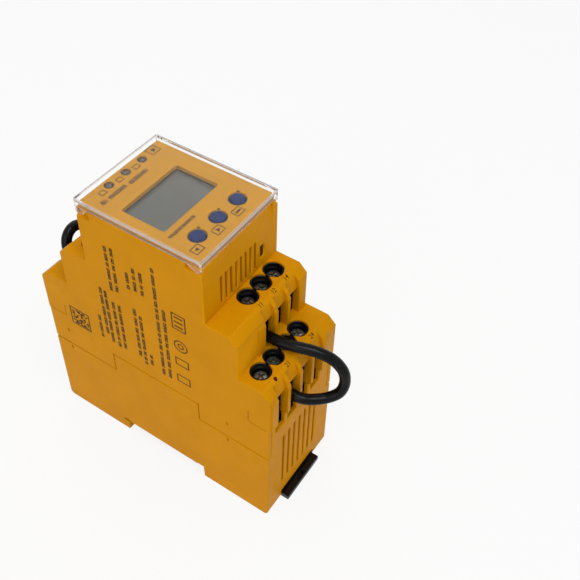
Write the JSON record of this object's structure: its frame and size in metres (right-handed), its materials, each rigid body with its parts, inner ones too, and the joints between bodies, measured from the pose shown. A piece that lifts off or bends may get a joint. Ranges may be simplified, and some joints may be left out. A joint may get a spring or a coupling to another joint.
{
  "type": "rail-mounted monitoring relay",
  "caption": "Two-module digital relay for a mounting rail, with a stepped yellow housing, display and keys under a clear hinged cover, and screw terminals.",
  "frame": {"origin": "middle of the rail seat, the flat face that rests on the front of the mounting rail", "axes": "+X along the rail, +Y from the output terminals' end with the keys to the supply terminals' end with the lamps, +Z out of the front, away from the rail"},
  "size_m": [0.036, 0.1033, 0.1071],
  "materials": {
    "housing": "fine satin texture",
    "cover": "clear polished polycarbonate",
    "key": "satin",
    "lcd": "glossy",
    "lamp": "diffuse lens",
    "board": "lacquered laminate",
    "black_plastic": "satin",
    "relay": "satin",
    "core": "varnished",
    "sleeve": "shrunk sleeve",
    "spring": "bright",
    "screw": "zinc plated",
    "cage": "zinc plated",
    "wire": "smooth insulation"
  },
  "bodies": {
    "housing": {"base_housing": "housing", "upper_housing": "housing", "front_panel": "housing", "lcd_module": "lcd", "display_board": "board", "main_board": "board", "supply_board": "board", "status_lamp_1": "lamp", "status_lamp_2": "lamp", "status_lamp_3": "lamp", "key_switch_1": "black_plastic", "key_switch_2": "black_plastic", "key_switch_3": "black_plastic", "output_relay_1": "relay", "output_relay_2": "relay", "transformer": "core", "supply_capacitor": "sleeve", "board_header": "black_plastic", "display_header": "black_plastic", "lower_carrier_output": "black_plastic", "lower_carrier_supply": "black_plastic", "upper_carrier_output": "black_plastic", "upper_carrier_supply": "black_plastic", "clip_spring": "spring", "output_link_wire": "wire", "supply_link_wire": "wire"},
    "cover": {"clear_cover": "cover"},
    "clip": {"rail_clip": "black_plastic"},
    "key_cap_1": {"key_1": "key"},
    "key_cap_2": {"key_2": "key"},
    "key_cap_3": {"key_3": "key"},
    "screw_01": {"terminal_screw_01": "screw"},
    "cage_01": {"clamp_cage_01": "cage"},
    "screw_02": {"terminal_screw_02": "screw"},
    "cage_02": {"clamp_cage_02": "cage"},
    "screw_03": {"terminal_screw_03": "screw"},
    "cage_03": {"clamp_cage_03": "cage"},
    "screw_04": {"terminal_screw_04": "screw"},
    "cage_04": {"clamp_cage_04": "cage"},
    "screw_05": {"terminal_screw_05": "screw"},
    "cage_05": {"clamp_cage_05": "cage"},
    "screw_06": {"terminal_screw_06": "screw"},
    "cage_06": {"clamp_cage_06": "cage"},
    "screw_07": {"terminal_screw_07": "screw"},
    "cage_07": {"clamp_cage_07": "cage"},
    "screw_08": {"terminal_screw_08": "screw"},
    "cage_08": {"clamp_cage_08": "cage"},
    "screw_09": {"terminal_screw_09": "screw"},
    "cage_09": {"clamp_cage_09": "cage"},
    "screw_10": {"terminal_screw_10": "screw"},
    "cage_10": {"clamp_cage_10": "cage"},
    "screw_11": {"terminal_screw_11": "screw"},
    "cage_11": {"clamp_cage_11": "cage"},
    "screw_12": {"terminal_screw_12": "screw"},
    "cage_12": {"clamp_cage_12": "cage"},
    "screw_13": {"terminal_screw_13": "screw"},
    "cage_13": {"clamp_cage_13": "cage"},
    "screw_14": {"terminal_screw_14": "screw"},
    "cage_14": {"clamp_cage_14": "cage"}
  },
  "joints": [
    {"name": "cover_hinge", "type": "hinge", "parent": "housing", "child": "cover", "pos_m": [0, 0.02105, 0.0976], "axis": [-1, 0, 0], "range_deg": [0, 100]},
    {"name": "clip_slide", "type": "slide", "parent": "housing", "child": "clip", "axis": [0, -1, 0], "range_m": [0, 0.0035], "stiffness_N_per_m": 800, "deforming": ["clip_spring"]},
    {"name": "key_1_press", "type": "slide", "parent": "housing", "child": "key_cap_1", "axis": [0, 0, -1], "range_m": [0, 0.0005], "stiffness_N_per_m": 250},
    {"name": "key_2_press", "type": "slide", "parent": "housing", "child": "key_cap_2", "axis": [0, 0, -1], "range_m": [0, 0.0005], "stiffness_N_per_m": 250},
    {"name": "key_3_press", "type": "slide", "parent": "housing", "child": "key_cap_3", "axis": [0, 0, -1], "range_m": [0, 0.0005], "stiffness_N_per_m": 250},
    {"name": "screw_01_turn", "type": "hinge", "parent": "housing", "child": "screw_01", "pos_m": [-0.0116, -0.0369, 0.0584], "axis": [0, 0, 1], "range_deg": [0, 1080]},
    {"name": "cage_01_lower", "type": "slide", "parent": "housing", "child": "cage_01", "axis": [0, 0, -1], "range_m": [0, 0.0015]},
    {"name": "screw_02_turn", "type": "hinge", "parent": "housing", "child": "screw_02", "pos_m": [-0.0051, -0.0369, 0.0584], "axis": [0, 0, 1], "range_deg": [0, 1080]},
    {"name": "cage_02_lower", "type": "slide", "parent": "housing", "child": "cage_02", "axis": [0, 0, -1], "range_m": [0, 0.0015]},
    {"name": "screw_03_turn", "type": "hinge", "parent": "housing", "child": "screw_03", "pos_m": [0.0014, -0.0369, 0.0584], "axis": [0, 0, 1], "range_deg": [0, 1080]},
    {"name": "cage_03_lower", "type": "slide", "parent": "housing", "child": "cage_03", "axis": [0, 0, -1], "range_m": [0, 0.0015]},
    {"name": "screw_04_turn", "type": "hinge", "parent": "housing", "child": "screw_04", "pos_m": [0.0079, -0.0369, 0.0584], "axis": [0, 0, 1], "range_deg": [0, 1080]},
    {"name": "cage_04_lower", "type": "slide", "parent": "housing", "child": "cage_04", "axis": [0, 0, -1], "range_m": [0, 0.0015]},
    {"name": "screw_05_turn", "type": "hinge", "parent": "housing", "child": "screw_05", "pos_m": [-0.0021, -0.0257, 0.0749], "axis": [0, 0, 1], "range_deg": [0, 1080]},
    {"name": "cage_05_lower", "type": "slide", "parent": "housing", "child": "cage_05", "axis": [0, 0, -1], "range_m": [0, 0.0015]},
    {"name": "screw_06_turn", "type": "hinge", "parent": "housing", "child": "screw_06", "pos_m": [0.0044, -0.0257, 0.0749], "axis": [0, 0, 1], "range_deg": [0, 1080]},
    {"name": "cage_06_lower", "type": "slide", "parent": "housing", "child": "cage_06", "axis": [0, 0, -1], "range_m": [0, 0.0015]},
    {"name": "screw_07_turn", "type": "hinge", "parent": "housing", "child": "screw_07", "pos_m": [0.0109, -0.0257, 0.0749], "axis": [0, 0, 1], "range_deg": [0, 1080]},
    {"name": "cage_07_lower", "type": "slide", "parent": "housing", "child": "cage_07", "axis": [0, 0, -1], "range_m": [0, 0.0015]},
    {"name": "screw_08_turn", "type": "hinge", "parent": "housing", "child": "screw_08", "pos_m": [0.0116, 0.0369, 0.0584], "axis": [0, 0, 1], "range_deg": [0, 1080]},
    {"name": "cage_08_lower", "type": "slide", "parent": "housing", "child": "cage_08", "axis": [0, 0, -1], "range_m": [0, 0.0015]},
    {"name": "screw_09_turn", "type": "hinge", "parent": "housing", "child": "screw_09", "pos_m": [0.0051, 0.0369, 0.0584], "axis": [0, 0, 1], "range_deg": [0, 1080]},
    {"name": "cage_09_lower", "type": "slide", "parent": "housing", "child": "cage_09", "axis": [0, 0, -1], "range_m": [0, 0.0015]},
    {"name": "screw_10_turn", "type": "hinge", "parent": "housing", "child": "screw_10", "pos_m": [-0.0014, 0.0369, 0.0584], "axis": [0, 0, 1], "range_deg": [0, 1080]},
    {"name": "cage_10_lower", "type": "slide", "parent": "housing", "child": "cage_10", "axis": [0, 0, -1], "range_m": [0, 0.0015]},
    {"name": "screw_11_turn", "type": "hinge", "parent": "housing", "child": "screw_11", "pos_m": [-0.0079, 0.0369, 0.0584], "axis": [0, 0, 1], "range_deg": [0, 1080]},
    {"name": "cage_11_lower", "type": "slide", "parent": "housing", "child": "cage_11", "axis": [0, 0, -1], "range_m": [0, 0.0015]},
    {"name": "screw_12_turn", "type": "hinge", "parent": "housing", "child": "screw_12", "pos_m": [0.0021, 0.0257, 0.0749], "axis": [0, 0, 1], "range_deg": [0, 1080]},
    {"name": "cage_12_lower", "type": "slide", "parent": "housing", "child": "cage_12", "axis": [0, 0, -1], "range_m": [0, 0.0015]},
    {"name": "screw_13_turn", "type": "hinge", "parent": "housing", "child": "screw_13", "pos_m": [-0.0044, 0.0257, 0.0749], "axis": [0, 0, 1], "range_deg": [0, 1080]},
    {"name": "cage_13_lower", "type": "slide", "parent": "housing", "child": "cage_13", "axis": [0, 0, -1], "range_m": [0, 0.0015]},
    {"name": "screw_14_turn", "type": "hinge", "parent": "housing", "child": "screw_14", "pos_m": [-0.0109, 0.0257, 0.0749], "axis": [0, 0, 1], "range_deg": [0, 1080]},
    {"name": "cage_14_lower", "type": "slide", "parent": "housing", "child": "cage_14", "axis": [0, 0, -1], "range_m": [0, 0.0015]}
  ],
  "couplings": [
    {"joint": "screw_01_turn", "follows": "cage_01_lower", "rad_per_m": 12566},
    {"joint": "screw_02_turn", "follows": "cage_02_lower", "rad_per_m": 12566},
    {"joint": "screw_03_turn", "follows": "cage_03_lower", "rad_per_m": 12566},
    {"joint": "screw_04_turn", "follows": "cage_04_lower", "rad_per_m": 12566},
    {"joint": "screw_05_turn", "follows": "cage_05_lower", "rad_per_m": 12566},
    {"joint": "screw_06_turn", "follows": "cage_06_lower", "rad_per_m": 12566},
    {"joint": "screw_07_turn", "follows": "cage_07_lower", "rad_per_m": 12566},
    {"joint": "screw_08_turn", "follows": "cage_08_lower", "rad_per_m": 12566},
    {"joint": "screw_09_turn", "follows": "cage_09_lower", "rad_per_m": 12566},
    {"joint": "screw_10_turn", "follows": "cage_10_lower", "rad_per_m": 12566},
    {"joint": "screw_11_turn", "follows": "cage_11_lower", "rad_per_m": 12566},
    {"joint": "screw_12_turn", "follows": "cage_12_lower", "rad_per_m": 12566},
    {"joint": "screw_13_turn", "follows": "cage_13_lower", "rad_per_m": 12566},
    {"joint": "screw_14_turn", "follows": "cage_14_lower", "rad_per_m": 12566}
  ]
}
